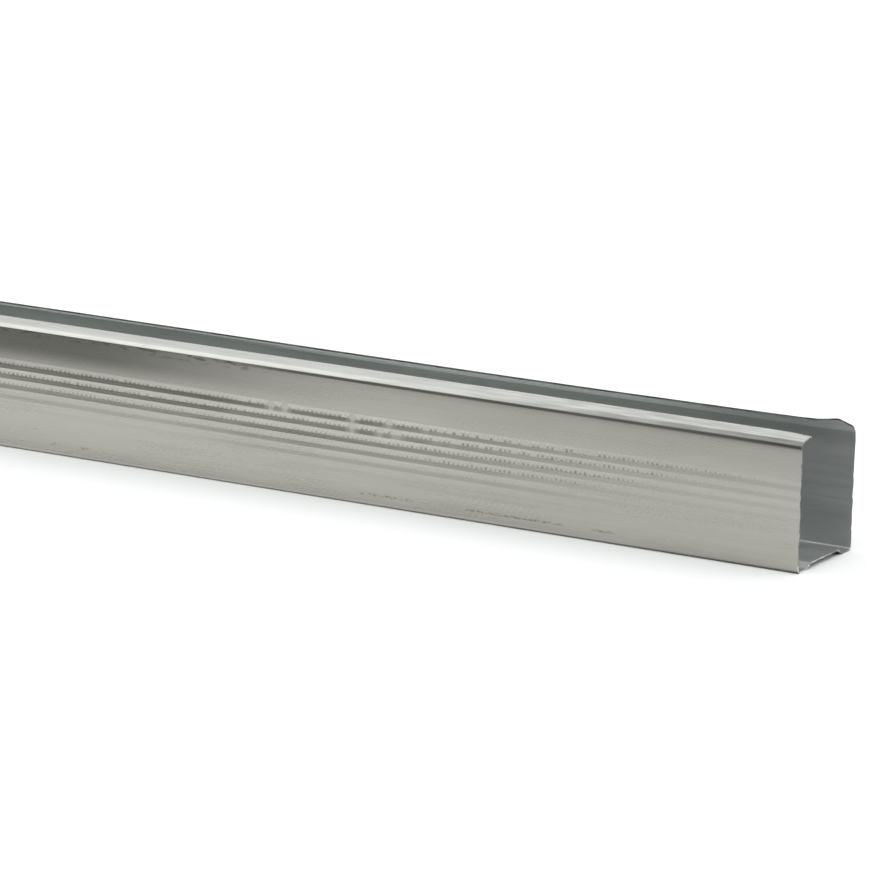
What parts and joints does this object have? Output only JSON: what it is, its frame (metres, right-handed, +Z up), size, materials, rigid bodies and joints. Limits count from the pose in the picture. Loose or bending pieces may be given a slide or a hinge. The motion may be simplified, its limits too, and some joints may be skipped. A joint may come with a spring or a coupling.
{
  "type": "metal stud",
  "caption": "Lipped C-section metal stud cold rolled from thin galvanised strip, with a stepped web and knurled grooves along both flanges, for framing partition walls.",
  "frame": {"origin": "mid length and mid width of the stud, on the plane of the web's two feet that it lies on", "axes": "+X along the stud, +Y across the web from the taller flange to the lower one, +Z up out of the open side"},
  "size_m": [2.6, 0.0438, 0.0506],
  "materials": {
    "galvanised_steel": "hot-dip galvanised, dull grey with a faint warm tint, rolling marks and light scuffs"
  },
  "bodies": {
    "root": {"c_stud": "galvanised_steel"}
  },
  "joints": []
}
